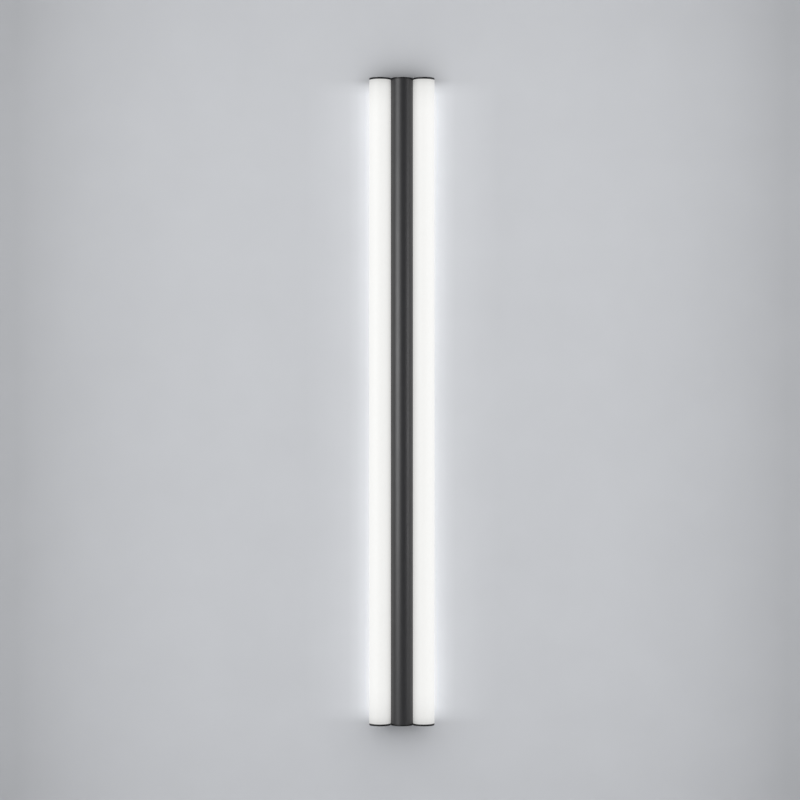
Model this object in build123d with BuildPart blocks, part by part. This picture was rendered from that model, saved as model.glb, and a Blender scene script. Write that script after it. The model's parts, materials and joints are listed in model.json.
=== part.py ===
from build123d import *
from math import cos, isclose, radians, sin, sqrt
import os

# Upright wall light: two opal light tubes side by side with a dark round body between them.
# Millimetres. +X right, +Y into the wall, +Z up. The origin lies on the wall, in the middle of the
# two wall screws. A "depth" is a distance in front of the wall, so the point lies at Y = -depth.

# ---- Driving dimensions -------------------------------------------------------------------------
overall_length = 1200.0  # over both end plates
tube_radius = 20.0  # opal tubes and the round front of the body
tube_gap = 0.5  # between neighbouring tubes
tube_depth = 35.0  # tube axes in front of the wall
slot_turn = 30.0  # degrees by which each light tube's slot looks back from the tubes' own plane
profile_wall = 2.0  # aluminium extrusion
shadow_gap = 2.0  # rear edge of the body in front of the wall

plate_thickness = 3.0  # end plates
plate_chamfer = 0.3
plate_notch_fillet = 2.0  # behind the light tubes
gasket_thickness = 0.5
gasket_inset = 0.4  # inside the end plate's outline

diffuser_wall = 1.8
diffuser_slot_half = 8.6
hook_thickness = 1.6  # lips of the diffuser, held in the tongue's grooves
hook_tip_half = 6.5
lip_inset = 4.3  # middle of the lips inside the tube's outer face
hook_play = 0.3

tongue_half = 7.6
seat_height = 10.9  # board seat on the tongue, above the flank
board_width = 12.0
board_thickness = 1.6
board_play = 0.15
board_end_margin = 3.0  # board end inside the tube end
board_lip_thickness = 0.9
board_lip_overlap = 1.1
tongue_chamfer = 0.6

led_width = 2.8
led_length = 3.5
led_height = 0.7
led_pitch = 12.5
led_line_offset = 1.5  # LED line beside the board's centre line, to leave room for connectors
connector_width = 4.2
connector_height = 3.2
connector_inner_edge = 0.4  # near edge of the connectors from the board's centre line
connector_chamfer = 0.4
link_connector_length = 16.0
feed_connector_length = 9.0
feed_inset = 27.5  # leads pass through the body here, below the tube's upper end
feed_hole_radius = 2.0
board_joint = 1.0  # between upper and lower boards

port_height = 5.0  # screw port in the tongue, above the flank
port_boss_radius = 3.2
front_port_inset = 4.4  # front screw port behind the face of the round front
screw_radius = 1.5  # M3
screw_play = 0.05
screw_head_radius = 2.8
screw_head_height = 1.9
end_screw_length = 16.0
thread_margin = 0.3  # gear screws end inside the tray's sheet
socket_width = 2.0
socket_depth = 1.1
plate_hole_radius = 1.7

tray_setback = 15.5  # rear face of the gear tray behind the tube axes
tray_thickness = 1.5
tray_play = 0.25
tray_end_play = 0.5
rib_thickness = 1.5
rib_overlap = 2.0  # of the groove's ribs over the tray's edge

rail_sheet = 1.5
rail_flange = 11.0
rail_play = 0.5  # between rail and body, each side
rail_bend = 0.8
rail_end_play = 4.5  # under the lifted body's end plate
wall_slot_inset = 101.0  # from the rail's ends
wall_slot_width = 5.5
wall_slot_length = 10.0

hook_inset = 141.0  # shelves of the two rail hooks, from the rail's ends
hook_bend = 0.4
rail_hook_width = 20.0
rail_hook_lip = 8.0
bracket_play = 0.5  # between bracket and hook
bracket_sheet = 2.0
bracket_width = 36.0
bracket_bar = 10.0  # above the window
bracket_sill = 6.0  # below the window
bracket_window_play = 2.0  # each side of the hook
bracket_foot = 20.0
bracket_hole_spacing = 24.0
lift_travel = 11.0
m4_radius = 2.0
m4_head_radius = 3.8
m4_head_height = 2.4

entry_radius = 5.0  # supply cable
grommet_groove_radius = 8.0
grommet_flange_radius = 11.0
grommet_flange = 1.5
grommet_collar_radius = 6.6
grommet_collar = 3.0
grommet_play = 0.05

driver_width = 30.0
driver_height = 21.0
driver_length = 240.0  # full-height part
driver_lead_gap = 34.0  # lower terminal above the middle of the bush
driver_step = 16.0  # terminal platforms
driver_step_height = 9.0
driver_tab = 12.0
driver_tab_height = 2.0
driver_chamfer = 1.5
driver_terminal_width = 22.0
driver_terminal_length = 14.0
driver_terminal_height = 10.0

pole_pitch = 7.0
block_width = 24.0
block_length = 22.0
block_height = 12.0
block_middle = 42.0  # above the cable entry
block_fillet = 0.8
ear_width = 7.0
ear_height = 3.0
lug_sheet = 0.8  # ring lug of the earth lead
lug_radius = 4.0
lug_edge = 1.0  # ring inside the groove's ribs
lug_tongue = 3.0
lug_barrel_radius = 1.7
lug_barrel_length = 5.0
lug_barrel_drop = 10.0  # lower end of the barrel below the ring's centre
earth_rise = 8.0  # earth screw above the middle of the bush
button_width = 4.0
button_length = 5.0
button_height = 5.0
button_play = 0.2
button_travel = 1.5
pocket_depth = 9.5
spring_sheet = 0.4
spring_width = 3.0
wire_mouth = 3.2  # square wire entries
wire_mouth_depth = 5.0
output_pitch = 5.0
supply_ways = 2
output_ways = 4

lead_radius = 1.1
lead_sides = 6
led_lead_radius = 0.7
led_lead_spread = 1.1
lead_bend = 5.0
earth_lead_bend = 8.0
earth_lead_rise = 11.0  # first bend above the bare end
led_lead_bends = (40.0, 5.0)
led_lead_turn_reach = 27.0  # last bend before the feed hole, from the light tube's axis
led_lead_slant = 39.0  # first bend below the feed hole
lead_insert = 4.0  # bare end inside a terminal
bush_middle = 82.0
bush_slot_width = 14.0
bush_slot_height = 8.0
bush_lip = 1.5
bush_wall = 1.5

# ---- Derived places -----------------------------------------------------------------------------
tube_pitch = 2 * tube_radius + tube_gap
tube_length = overall_length - 2 * (plate_thickness + gasket_thickness)
tube_half = tube_length / 2
flank_radius = tube_radius + tube_gap
leg_half = tube_pitch - flank_radius * cos(radians(2 * slot_turn))
box_depth = tube_depth - shadow_gap

hook_reach = tube_radius - lip_inset
seat_reach = flank_radius - seat_height
port_reach = flank_radius - port_height
board_front_reach = seat_reach - board_thickness
connector_across = connector_inner_edge + connector_width / 2
board_slot_front = board_front_reach - board_play
tongue_front = board_slot_front - board_lip_thickness
board_length = tube_half - board_end_margin - board_joint / 2
leds_per_board = int(board_length / led_pitch)
feed_height = tube_half - feed_inset

tray_depth = tube_depth - tray_setback
tray_front = tray_depth + tray_thickness
tray_step = tube_depth - tray_front
tray_length = tube_length - 2 * tray_end_play
tray_half = tube_pitch - sqrt((flank_radius + profile_wall) ** 2 - tray_step**2) - tray_play
rib_tip = tray_half - rib_overlap

rail_half = leg_half - profile_wall - rail_play
rail_length = tube_length - 2 * (lift_travel + rail_end_play)
wall_slot_spacing = rail_length - 2 * wall_slot_inset
hook_height = rail_length / 2 - hook_inset
window_height = lift_travel + rail_sheet + bracket_play
bracket_rear = rail_sheet + bracket_play
bracket_front = bracket_rear + bracket_sheet
hook_front = bracket_front + bracket_play + rail_sheet

terminal_reach = driver_length / 2 + driver_terminal_length
driver_middle = bush_middle + driver_lead_gap + terminal_reach
driver_half_span = driver_length / 2 + driver_step + driver_tab
terminal_wire_depth = tray_front + driver_step_height + driver_terminal_height / 2
block_face = tray_depth - block_height
block_wire_depth = tray_depth - block_height / 2
button_face = block_face - button_travel
mains_middle = -pole_pitch / 2  # between the live and neutral leads
earth_x = rib_tip - lug_edge - lug_radius
earth_height = bush_middle + earth_rise

SIDES = (("left", -1), ("right", 1))
ENDS = (("bottom", -1), ("top", 1))
LEVELS = (("lower", -1), ("upper", 1))
POLES = (("live", -1), ("neutral", 0), ("earth", 1))

os.makedirs("parts", exist_ok=True)


def save(piece, name):
    """Label a finished piece and write it under its own name."""
    piece.label = name
    export_step(piece, f"parts/{name}.step")


def slot_direction(side):
    """Unit vector from a light tube's axis out through its slot, into the body."""
    return Vector(-side * cos(radians(slot_turn)), sin(radians(slot_turn)), 0)


def light_point(side, reach, height, across=0.0):
    """Point at a reach along the slot direction of one light tube and a step across it, mirrored."""
    out = slot_direction(side)
    sideways = Vector(0, 0, 1).cross(out) * side
    return Vector(side * tube_pitch, -tube_depth, height) + out * reach + sideways * across


def section_plane(side, height):
    """Plane square to one light tube: origin on its axis, local X out through its slot."""
    return Plane(light_point(side, 0, height), x_dir=slot_direction(side), z_dir=(0, 0, 1))


def board_plane(side, reach, height):
    """Plane along a board, looking out of the light tube's slot: local X up, local Y across."""
    return Plane(light_point(side, reach, height), x_dir=(0, 0, 1), z_dir=-slot_direction(side))


def rear_plane(depth):
    """Plane at a depth that looks at the wall: local X is -X, local Y is up."""
    return Plane((0, -depth, 0), x_dir=(-1, 0, 0), z_dir=(0, 1, 0))


def port_places():
    """Screw ports seen from above: one in each tongue and one behind the round front."""
    tongues = [light_point(side, port_reach, 0) for _, side in SIDES]
    front = Vector(0, -tube_depth - tube_radius + front_port_inset, 0)
    return [(place.X, place.Y) for place in (*tongues, front)]


def outline_sketch(inset):
    """Outline over the three tubes and the rear box, drawn in by an inset."""
    with BuildSketch() as outline:
        with Locations(*[(x, -tube_depth) for x in (-tube_pitch, 0, tube_pitch)]):
            Circle(tube_radius - inset)
        with Locations((0, -(tube_depth + shadow_gap) / 2 - inset / 2)):
            Rectangle(2 * (leg_half - inset), box_depth - inset)
        # inner corners where the box's sides meet the light tubes
        front_of_rear = -shadow_gap - tube_radius / 2
        corners = outline.vertices().filter_by_position(Axis.Y, -tube_depth, front_of_rear)
        notches = corners.filter_by(lambda corner: isclose(abs(corner.X), leg_half - inset))
        fillet(notches, plate_notch_fillet)
    return outline.sketch


def countersunk_screw(length):
    """M3 screw with a hexagon socket: the head's top lies on the XY plane."""
    slope = screw_head_radius - screw_radius
    with BuildPart() as screw:
        with BuildSketch(Plane.XZ):
            with BuildLine():
                Polyline(
                    (0, 0),
                    (screw_head_radius, 0),
                    (screw_radius, -slope),
                    (screw_radius, -length),
                    (0, -length),
                    close=True,
                )
            make_face()
        revolve(axis=Axis.Z)
        with BuildSketch():
            RegularPolygon(socket_width / 2, 6, major_radius=False)
        extrude(amount=-socket_depth, mode=Mode.SUBTRACT)
    return screw.part


def tray_screw(radius, head_radius, head_height, clamped):
    """Hexagon screw that holds a thickness on the tray: the head's seat lies on the XY plane."""
    with BuildPart() as screw:
        with BuildSketch():
            RegularPolygon(head_radius, 6)
        extrude(amount=head_height)
        with BuildSketch():
            Circle(radius)
        extrude(amount=-(clamped + tray_thickness - thread_margin))
    return screw.part


def lead(points, radius, bends):
    """Insulated lead along straight runs joined by tangent bends; it starts upwards."""
    with BuildPart() as wire:
        with BuildLine() as route:
            FilletPolyline(*points, radius=bends)
        with BuildSketch(Plane(points[0])):
            RegularPolygon(radius, lead_sides)
        sweep(path=route.line)
    return wire.part


# ---- Sections of the extrusions, drawn round a light tube's axis with local X out of its slot -----
with BuildSketch() as tongue_section:
    with Locations(((tongue_front + flank_radius + profile_wall) / 2, 0)):
        Rectangle(flank_radius + profile_wall - tongue_front, 2 * tongue_half)
    Circle(flank_radius + profile_wall / 2, mode=Mode.INTERSECT)
    chamfer(tongue_section.vertices().group_by(Axis.X)[0], tongue_chamfer)
    # groove for the diffuser's lips, on both sides
    groove = hook_thickness + 2 * hook_play
    groove_floor = hook_tip_half - hook_play
    with GridLocations(0, 2 * tongue_half, 1, 2):
        with Locations((hook_reach, 0)):
            Rectangle(groove, 2 * (tongue_half - groove_floor), mode=Mode.SUBTRACT)
    # slot that the LED board slides into, and its mouth between the two holding lips
    with Locations(((board_slot_front + seat_reach) / 2, 0)):
        Rectangle(board_thickness + board_play, board_width + 2 * board_play, mode=Mode.SUBTRACT)
    with Locations((tongue_front, 0)):
        mouth = board_width - 2 * board_lip_overlap
        Rectangle(2 * board_lip_thickness + board_play, mouth, mode=Mode.SUBTRACT)
    with Locations((port_reach, 0)):
        Circle(screw_radius + screw_play, mode=Mode.SUBTRACT)

with BuildSketch() as diffuser_section:
    Circle(tube_radius)
    Circle(tube_radius - diffuser_wall, mode=Mode.SUBTRACT)
    with Locations((tube_radius / 2, 0)):
        Rectangle(tube_radius, 2 * diffuser_slot_half, mode=Mode.SUBTRACT)
    lip_root = sqrt((tube_radius - diffuser_wall / 2) ** 2 - hook_reach**2)
    with GridLocations(0, lip_root + hook_tip_half, 1, 2):
        with Locations((hook_reach, 0)):
            Rectangle(hook_thickness, lip_root - hook_tip_half)

# Hollow of the body, seen from above: concentric with the round front and the flanks, then straight.
with BuildSketch() as hollow_section:
    with Locations((0, -tube_depth)):
        Circle(tube_radius - profile_wall)
    with Locations((0, -tube_depth / 2)):
        Rectangle(2 * (leg_half - profile_wall), tube_depth)
    with Locations((-tube_pitch, -tube_depth), (tube_pitch, -tube_depth)):
        Circle(flank_radius + profile_wall, mode=Mode.SUBTRACT)

# ---- Body: one aluminium extrusion, open to the rear ----------------------------------------------
with BuildPart() as body_profile:
    with BuildSketch(Plane.XY.offset(-tube_half)):
        with Locations((0, -tube_depth)):
            Circle(tube_radius)
        with Locations((0, -(tube_depth + shadow_gap) / 2)):
            Rectangle(2 * leg_half, box_depth)
        add(hollow_section.sketch, mode=Mode.SUBTRACT)
        # two ribs on each side make the groove for the gear tray
        rib_reach = leg_half - profile_wall / 2 - rib_tip
        front_rib = tray_front + rib_thickness / 2
        rear_rib = tray_depth - (tray_play + rib_thickness / 2)
        for side in (-1, 1):
            with Locations(
                (side * (rib_tip + rib_reach / 2), -front_rib),
                (side * (rib_tip + rib_reach / 2), -rear_rib),
            ):
                Rectangle(rib_reach, rib_thickness)
        # boss for the front screw port
        with Locations((0, -tube_depth - tube_radius + front_port_inset)):
            Circle(port_boss_radius)
            Circle(screw_radius + screw_play, mode=Mode.SUBTRACT)
        # hollow flanks round the light tubes, then the tongues that reach into them
        with Locations((-tube_pitch, -tube_depth), (tube_pitch, -tube_depth)):
            Circle(flank_radius, mode=Mode.SUBTRACT)
        with Locations(
            Location((-tube_pitch, -tube_depth, 0), (0, 0, slot_turn)),
            Location((tube_pitch, -tube_depth, 0), (0, 0, 180 - slot_turn)),
        ):
            add(tongue_section.sketch)
    extrude(amount=tube_length)
    # feed hole through each tongue, near the top
    for _, side in SIDES:
        start = light_point(side, tongue_front, feed_height, connector_across)
        with BuildSketch(Plane(start, z_dir=slot_direction(side))):
            Circle(feed_hole_radius)
        extrude(amount=flank_radius + 2 * profile_wall - tongue_front, mode=Mode.SUBTRACT)
save(body_profile.part, "body_profile")

# ---- Light tubes: diffuser, LED boards, chips -----------------------------------------------------
for side_name, side in SIDES:
    with BuildPart() as diffuser:
        with BuildSketch(section_plane(side, -tube_half)):
            add(diffuser_section.sketch)
        extrude(amount=tube_length)
    save(diffuser.part, f"{side_name}_diffuser")

    for level_name, level in LEVELS:
        middle = level * (board_joint + board_length) / 2
        with BuildPart() as board:
            with BuildSketch(board_plane(side, seat_reach, middle)):
                Rectangle(board_length, board_width)
            extrude(amount=board_thickness)
            if level > 0:
                with BuildSketch(board_plane(side, seat_reach, feed_height)):
                    with Locations((0, side * connector_across)):
                        Circle(feed_hole_radius)
                extrude(amount=board_thickness, mode=Mode.SUBTRACT)
        save(board.part, f"{level_name}_{side_name}_board")

        led_middle = level * led_pitch * leds_per_board / 2
        with BuildPart() as leds:
            with BuildSketch(board_plane(side, board_front_reach, led_middle)):
                with Locations((0, -side * led_line_offset)):
                    with GridLocations(led_pitch, 0, leds_per_board, 1):
                        Rectangle(led_length, led_width)
            extrude(amount=led_height)
        save(leds.part, f"{level_name}_{side_name}_leds")

for name, length, height in (
    ("link_connectors", link_connector_length, 0.0),
    ("feed_connectors", feed_connector_length, feed_height),
):
    with BuildPart() as connectors:
        for _, side in SIDES:
            with BuildSketch(board_plane(side, board_front_reach, height)):
                with Locations((0, side * connector_across)):
                    Rectangle(length, connector_width)
            extrude(amount=connector_height)
        chamfer(connectors.edges().filter_by(Axis.Z), connector_chamfer)
    save(connectors.part, name)

# ---- Ends: plate, gasket and three countersunk screws ---------------------------------------------
end_screw = countersunk_screw(end_screw_length)
plate_outline = outline_sketch(0)
gasket_outline = outline_sketch(gasket_inset)
for end_name, end in ENDS:
    outward = Vector(0, 0, end)
    seat = Plane((0, 0, end * tube_half), x_dir=(end, 0, 0), z_dir=outward)
    places = [(end * x, y) for x, y in port_places()]
    with BuildPart() as gasket:
        with BuildSketch(seat):
            add(gasket_outline)
            with Locations(*places):
                Circle(plate_hole_radius, mode=Mode.SUBTRACT)
        extrude(amount=gasket_thickness)
    save(gasket.part, f"{end_name}_gasket")

    with BuildPart() as end_plate:
        with BuildSketch(seat.offset(gasket_thickness)):
            add(plate_outline)
        extrude(amount=plate_thickness)
        outer_face = end_plate.faces().sort_by(Axis.Z)[0 if end < 0 else -1]
        chamfer(outer_face.edges(), plate_chamfer)
        with Locations(seat.offset(gasket_thickness + plate_thickness)):
            with Locations(*places):
                CounterSinkHole(
                    plate_hole_radius, screw_head_radius + screw_play, counter_sink_angle=90
                )
    save(end_plate.part, f"{end_name}_end_plate")

    with BuildPart() as end_screws:
        with Locations(seat.offset(gasket_thickness + plate_thickness)):
            with Locations(*places):
                add(end_screw)
    save(end_screws.part, f"{end_name}_end_screws")

# ---- Gear tray: slides in the body's grooves ------------------------------------------------------
driver_screw_places = [
    (0, driver_middle + end * (driver_half_span - driver_tab / 2)) for _, end in ENDS
]
block_screw_places = [
    (side * (block_width + ear_width) / 2, block_middle) for _, side in SIDES
]
bracket_foot_drop = window_height + bracket_sill - bracket_sheet + bracket_foot / 2
bracket_screw_places = [
    (side * bracket_hole_spacing / 2, level * hook_height - bracket_foot_drop)
    for _, level in LEVELS
    for _, side in SIDES
]

with BuildPart() as gear_tray:
    with BuildSketch(Plane.XZ.offset(tray_depth)):
        Rectangle(2 * tray_half, tray_length)
        with Locations(*driver_screw_places, *block_screw_places, (earth_x, earth_height)):
            Circle(screw_radius + screw_play, mode=Mode.SUBTRACT)
        with Locations(*bracket_screw_places):
            Circle(m4_radius + screw_play, mode=Mode.SUBTRACT)
        with Locations((mains_middle, bush_middle)):
            SlotOverall(bush_slot_width, bush_slot_height, mode=Mode.SUBTRACT)
    extrude(amount=tray_thickness)
save(gear_tray.part, "gear_tray")

with BuildPart() as tray_bush:
    bush_rear = tray_depth - bush_lip
    for start, thickness, grow in (
        (bush_rear, bush_lip, bush_lip),
        (tray_depth, tray_thickness, -screw_play),
        (tray_front, bush_lip, bush_lip),
    ):
        with BuildSketch(Plane.XZ.offset(start)):
            with Locations((mains_middle, bush_middle)):
                SlotOverall(bush_slot_width + 2 * grow, bush_slot_height + 2 * grow)
        extrude(amount=thickness)
    with BuildSketch(Plane.XZ.offset(bush_rear)):
        with Locations((mains_middle, bush_middle)):
            SlotOverall(bush_slot_width - 2 * bush_wall, bush_slot_height - 2 * bush_wall)
    extrude(amount=tray_thickness + 2 * bush_lip, mode=Mode.SUBTRACT)
save(tray_bush.part, "tray_bush")

# ---- LED driver on the tray's front face ----------------------------------------------------------
with BuildPart() as driver_case:
    for reach, height in (
        (driver_half_span, driver_tab_height),
        (driver_length / 2 + driver_step, driver_step_height),
        (driver_length / 2, driver_height),
    ):
        with BuildSketch(Plane.XZ.offset(tray_front)):
            with Locations((0, driver_middle)):
                Rectangle(driver_width, 2 * reach)
        extrude(amount=height)
    front_edges = driver_case.faces().sort_by(Axis.Y)[0].edges()
    chamfer(front_edges, driver_chamfer)
    with BuildSketch(Plane.XZ.offset(tray_front)):
        with Locations(*driver_screw_places):
            Circle(plate_hole_radius)
    extrude(amount=driver_tab_height, mode=Mode.SUBTRACT)
save(driver_case.part, "driver_case")

with BuildPart() as driver_terminals:
    for _, end in ENDS:
        middle = driver_middle + end * (driver_length + driver_terminal_length) / 2
        with BuildSketch(Plane.XZ.offset(tray_front + driver_step_height)):
            with Locations((0, middle)):
                Rectangle(driver_terminal_width, driver_terminal_length)
        extrude(amount=driver_terminal_height)
    chamfer(driver_terminals.edges().filter_by(Axis.Y), block_fillet)
    # supply side below, light side above
    for end, middle, pitch, ways in (
        (-1, mains_middle, pole_pitch, supply_ways),
        (1, 0, output_pitch, output_ways),
    ):
        mouth = Vector(middle, -terminal_wire_depth, driver_middle + end * terminal_reach)
        with BuildSketch(Plane(mouth, x_dir=(1, 0, 0), z_dir=(0, 0, end))):
            with GridLocations(pitch, 0, ways, 1):
                Rectangle(wire_mouth, wire_mouth)
        extrude(amount=-wire_mouth_depth, mode=Mode.SUBTRACT)
save(driver_terminals.part, "driver_terminals")

driver_screw = tray_screw(screw_radius, screw_head_radius, screw_head_height, driver_tab_height)
with BuildPart() as driver_screws:
    with Locations(Plane.XZ.offset(tray_front + driver_tab_height)):
        with Locations(*driver_screw_places):
            add(driver_screw)
save(driver_screws.part, "driver_screws")

# ---- Mains terminal on the tray's rear face, with its three release buttons -----------------------
pocket_width = button_width + 2 * button_play
pocket_length = button_length + 2 * button_play

with BuildPart() as terminal_block:
    with BuildSketch(Plane.XZ.offset(block_face)):
        with Locations((0, block_middle)):
            Rectangle(block_width, block_length)
    extrude(amount=block_height)
    fillet(terminal_block.edges().filter_by(Axis.Y), block_fillet)
    with BuildSketch(Plane.XZ.offset(tray_depth - ear_height)):
        with Locations((0, block_middle)):
            Rectangle(block_width + 2 * ear_width, block_length / 2)
    extrude(amount=ear_height)
    with BuildSketch(Plane.XZ.offset(tray_depth - ear_height)):
        with Locations(*block_screw_places):
            Circle(plate_hole_radius)
    extrude(amount=ear_height, mode=Mode.SUBTRACT)
    with BuildSketch(Plane.XZ.offset(block_face)):
        with Locations((0, block_middle)):
            with GridLocations(pole_pitch, 0, len(POLES), 1):
                Rectangle(pocket_width, pocket_length)
    extrude(amount=pocket_depth, mode=Mode.SUBTRACT)
    for _, end in ENDS:
        mouth = Vector(0, -block_wire_depth, block_middle + end * block_length / 2)
        with BuildSketch(Plane(mouth, x_dir=(1, 0, 0), z_dir=(0, 0, end))):
            with GridLocations(pole_pitch, 0, len(POLES), 1):
                Rectangle(wire_mouth, wire_mouth)
        extrude(amount=-wire_mouth_depth, mode=Mode.SUBTRACT)
save(terminal_block.part, "terminal_block")

for pole_name, pole in POLES:
    with BuildPart() as button:
        with BuildSketch(Plane.XZ.offset(button_face)):
            with Locations((pole * pole_pitch, block_middle)):
                Rectangle(button_width, button_length)
        extrude(amount=button_height)
        chamfer(button.faces().sort_by(Axis.Y)[-1].edges(), button_play)
    save(button.part, f"{pole_name}_button")

with BuildPart() as terminal_springs:
    spring_top = button_face + button_height + button_travel + button_play
    spring_foot = block_face + pocket_depth
    reach = button_length / 2 - button_play
    for _, pole in POLES:
        with BuildSketch(Plane.YZ.offset(pole * pole_pitch)):
            with BuildLine():
                Polyline(
                    (-spring_foot, block_middle - reach),
                    (-spring_foot, block_middle + reach),
                    (-spring_top, block_middle - reach / 2),
                    (-spring_top - spring_sheet, block_middle - reach / 2 - spring_sheet),
                    (-spring_foot + spring_sheet, block_middle + reach - 3 * spring_sheet),
                    (-spring_foot + spring_sheet, block_middle - reach),
                    close=True,
                )
            make_face()
        extrude(amount=spring_width / 2, both=True)
save(terminal_springs.part, "terminal_springs")

ear_screw = tray_screw(screw_radius, screw_head_radius, screw_head_height, ear_height)
with BuildPart() as terminal_screws:
    with Locations(rear_plane(tray_depth - ear_height)):
        with Locations(*block_screw_places):
            add(ear_screw)
save(terminal_screws.part, "terminal_screws")

with BuildPart() as earth_screw:
    with Locations(rear_plane(tray_depth - lug_sheet)):
        with Locations((-earth_x, earth_height)):
            add(tray_screw(screw_radius, screw_head_radius, screw_head_height, lug_sheet))
save(earth_screw.part, "earth_screw")

# ---- Hang brackets on the tray, and the wall rail with the hooks that carry them ------------------
for level_name, level in LEVELS:
    shelf = level * hook_height
    foot_bend = shelf - window_height - bracket_sill + bracket_sheet / 2
    mid_plate = bracket_rear + bracket_sheet / 2
    mid_foot = tray_depth - bracket_sheet / 2
    with BuildPart() as hang_bracket:
        with BuildSketch(Plane.YZ):
            with BuildLine():
                FilletPolyline(
                    (-mid_plate, shelf + bracket_bar),
                    (-mid_plate, foot_bend),
                    (-mid_foot, foot_bend),
                    (-mid_foot, foot_bend + bracket_sheet / 2 - bracket_foot),
                    radius=bracket_sheet,
                )
            trace(line_width=bracket_sheet)
        extrude(amount=bracket_width / 2, both=True)
        with BuildSketch(Plane.XZ.offset(bracket_rear)):
            with Locations((0, shelf - window_height / 2)):
                Rectangle(rail_hook_width + 2 * bracket_window_play, window_height)
        extrude(amount=bracket_sheet, mode=Mode.SUBTRACT)
        with BuildSketch(Plane.XZ.offset(tray_depth - bracket_sheet)):
            with Locations(*bracket_screw_places):
                Circle(m4_radius + screw_play)
        extrude(amount=bracket_sheet, mode=Mode.SUBTRACT)
    save(hang_bracket.part, f"{level_name}_hang_bracket")

bracket_screw = tray_screw(m4_radius, m4_head_radius, m4_head_height, bracket_sheet)
with BuildPart() as hang_bracket_screws:
    with Locations(rear_plane(tray_depth - bracket_sheet)):
        with Locations(*bracket_screw_places):
            add(bracket_screw)
save(hang_bracket_screws.part, "hang_bracket_screws")

with BuildPart() as wall_rail:
    mid_flange = rail_half - rail_sheet / 2
    with BuildSketch(Plane.XY.offset(-rail_length / 2)):
        with BuildLine():
            FilletPolyline(
                (-mid_flange, -rail_flange),
                (-mid_flange, -rail_sheet / 2),
                (mid_flange, -rail_sheet / 2),
                (mid_flange, -rail_flange),
                radius=rail_bend + rail_sheet / 2,
            )
        trace(line_width=rail_sheet)
    extrude(amount=rail_length)
    with BuildSketch(Plane.XZ):
        Circle(grommet_groove_radius)
        with GridLocations(0, wall_slot_spacing, 1, 2):
            SlotOverall(wall_slot_length, wall_slot_width, rotation=90)
        # windows left where the hooks were punched out of the web
        window = rail_hook_lip + hook_front
        with GridLocations(0, 2 * hook_height, 1, 2):
            with Locations((0, window / 2)):
                Rectangle(rail_hook_width, window)
    extrude(amount=rail_sheet, mode=Mode.SUBTRACT)
    for _, level in LEVELS:
        shelf = level * hook_height
        mid_lip = hook_front - rail_sheet / 2
        with BuildSketch(Plane.YZ):
            with BuildLine():
                FilletPolyline(
                    (-rail_sheet / 2, shelf - rail_sheet / 2),
                    (-mid_lip, shelf - rail_sheet / 2),
                    (-mid_lip, shelf + rail_hook_lip),
                    radius=hook_bend + rail_sheet / 2,
                )
            trace(line_width=rail_sheet)
        extrude(amount=rail_hook_width / 2, both=True)
save(wall_rail.part, "wall_rail")

with BuildPart() as cable_grommet:
    for start, thickness, radius in (
        (0, rail_sheet, grommet_groove_radius - grommet_play),
        (rail_sheet, grommet_flange, grommet_flange_radius),
        (rail_sheet + grommet_flange, grommet_collar, grommet_collar_radius),
    ):
        with BuildSketch(Plane.XZ.offset(start)):
            Circle(radius)
        extrude(amount=thickness)
    with BuildSketch(Plane.XZ):
        Circle(entry_radius)
    extrude(amount=rail_sheet + grommet_flange + grommet_collar, mode=Mode.SUBTRACT)
save(cable_grommet.part, "cable_grommet")

# ---- Inner wiring ---------------------------------------------------------------------------------
block_top = block_middle + block_length / 2 - lead_insert
driver_foot = driver_middle - terminal_reach + lead_insert
driver_head = driver_middle + terminal_reach - lead_insert

mains_routes = [
    [
        (pole * pole_pitch, -block_wire_depth, block_top),
        (pole * pole_pitch, -block_wire_depth, bush_middle),
        (pole * pole_pitch, -terminal_wire_depth, bush_middle),
        (pole * pole_pitch, -terminal_wire_depth, driver_foot),
    ]
    for name, pole in POLES
    if name != "earth"
]
mains_wires = [lead(route, lead_radius, lead_bend) for route in mains_routes]
with BuildPart() as mains_leads:
    add(mains_wires)
save(mains_leads.part, "mains_leads")

# The earth lead ends in a ring lug under the earth screw.
lug_axis_depth = tray_depth - lug_barrel_radius
barrel_foot = earth_height - lug_barrel_drop
earth_wire = lead(
    [
        (pole_pitch, -block_wire_depth, block_top),
        (pole_pitch, -block_wire_depth, block_top + earth_lead_rise),
        (earth_x, -lug_axis_depth, barrel_foot - lead_insert),
        (earth_x, -lug_axis_depth, barrel_foot + lead_insert),
    ],
    lead_radius,
    earth_lead_bend,
)
with BuildPart() as earth_lead:
    with BuildSketch(Plane.XZ.offset(tray_depth - lug_sheet)):
        with Locations((earth_x, earth_height)):
            Circle(lug_radius)
            with Locations((0, -(lug_barrel_drop - lug_barrel_length / 2) / 2)):
                Rectangle(lug_tongue, lug_barrel_drop - lug_barrel_length / 2)
            Circle(screw_radius + screw_play, mode=Mode.SUBTRACT)
    extrude(amount=lug_sheet)
    with BuildSketch(Plane((earth_x, -lug_axis_depth, barrel_foot))):
        RegularPolygon(lug_barrel_radius, lead_sides)
    extrude(amount=lug_barrel_length)
    add(earth_wire)
save(earth_lead.part, "earth_lead")

led_routes = []
for _, side in SIDES:
    for way, step in ((0, 1), (1, -1)):
        x = side * (way + 0.5) * output_pitch
        across = connector_across + step * led_lead_spread
        led_routes.append(
            [
                (x, -terminal_wire_depth, driver_head),
                (x, -terminal_wire_depth, feed_height - led_lead_slant),
                light_point(side, led_lead_turn_reach, feed_height, across),
                light_point(side, board_front_reach, feed_height, across),
            ]
        )
led_wires = [lead(route, led_lead_radius, led_lead_bends) for route in led_routes]
with BuildPart() as led_leads:
    add(led_wires)
save(led_leads.part, "led_leads")
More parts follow.
